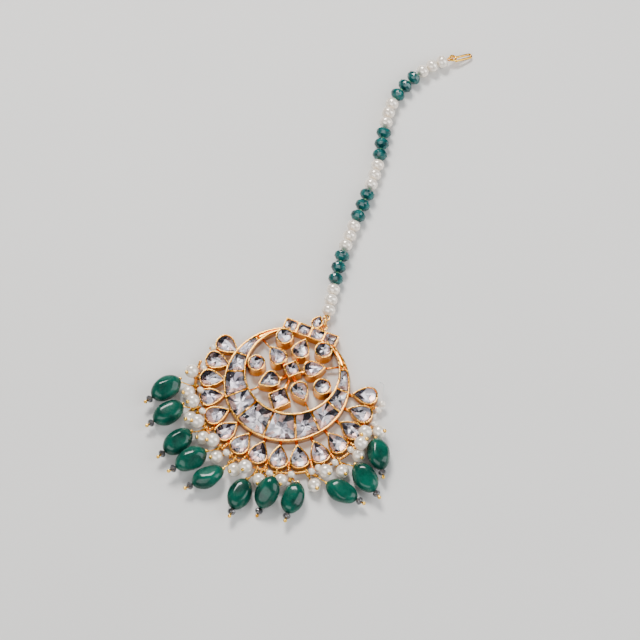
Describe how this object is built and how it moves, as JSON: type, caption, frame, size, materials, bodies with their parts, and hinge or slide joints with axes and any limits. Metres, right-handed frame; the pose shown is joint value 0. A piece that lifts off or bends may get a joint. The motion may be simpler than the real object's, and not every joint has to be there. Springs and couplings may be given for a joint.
{
  "type": "maang tikka",
  "caption": "Round jewelled forehead pendant with a crescent of clear stones, stone petals, a fringe of pearls and green drops, and a bead string that ends in a hair hook.",
  "frame": {"origin": "centre of the pendant's ring, on the flat back of its centre cup", "axes": "+Z out of the pendant's jewelled face; +Y along the object from the pendant to the hook; +X to the right, seen from the front"},
  "size_m": [0.0757, 0.1743, 0.0079],
  "materials": {
    "gold": "polished warm gold plating, with rounded bright rims",
    "foil_crystal": "clear faceted stones on silver foil",
    "pearl": "creamy pearl lustre with pink and green tints",
    "green_drop": "polished opaque emerald green",
    "string_beads": "round pearls and faceted translucent green rondelles",
    "clear_crystal": "clear faceted glass",
    "thread": "fine twisted thread with a metallic glint"
  },
  "bodies": {
    "root": {"gold_setting": "gold", "centre_square_stone": "foil_crystal", "cluster_pear_stone_1": "foil_crystal", "cluster_pear_stone_2": "foil_crystal", "cluster_pear_stone_3": "foil_crystal", "cluster_pear_stone_4": "foil_crystal", "cluster_pear_stone_5": "foil_crystal", "cluster_round_stone_1": "foil_crystal", "cluster_round_stone_2": "foil_crystal", "cluster_round_stone_3": "foil_crystal", "cluster_round_stone_4": "foil_crystal", "lower_diamond_stone": "foil_crystal", "crescent_stone_1": "foil_crystal", "crescent_stone_2": "foil_crystal", "crescent_stone_3": "foil_crystal", "crescent_stone_4": "foil_crystal", "crescent_stone_5": "foil_crystal", "crescent_stone_6": "foil_crystal", "crescent_stone_7": "foil_crystal", "crescent_stone_8": "foil_crystal", "crescent_stone_9": "foil_crystal", "crescent_stone_10": "foil_crystal", "bar_stone_1": "foil_crystal", "bar_stone_2": "foil_crystal", "bar_stone_3": "foil_crystal", "bar_stone_4": "foil_crystal", "marquise_stone": "foil_crystal", "pearl_fringe_left": "pearl", "pearl_fringe_right": "pearl", "green_drop_1": "green_drop", "green_drop_2": "green_drop", "green_drop_3": "green_drop", "green_drop_4": "green_drop", "green_drop_5": "green_drop", "green_drop_6": "green_drop", "green_drop_7": "green_drop", "green_drop_8": "green_drop", "green_drop_9": "green_drop", "green_drop_10": "green_drop", "green_drop_11": "green_drop", "jump_ring": "gold", "bead_string": "string_beads", "hair_hook": "gold"}
  },
  "joints": []
}
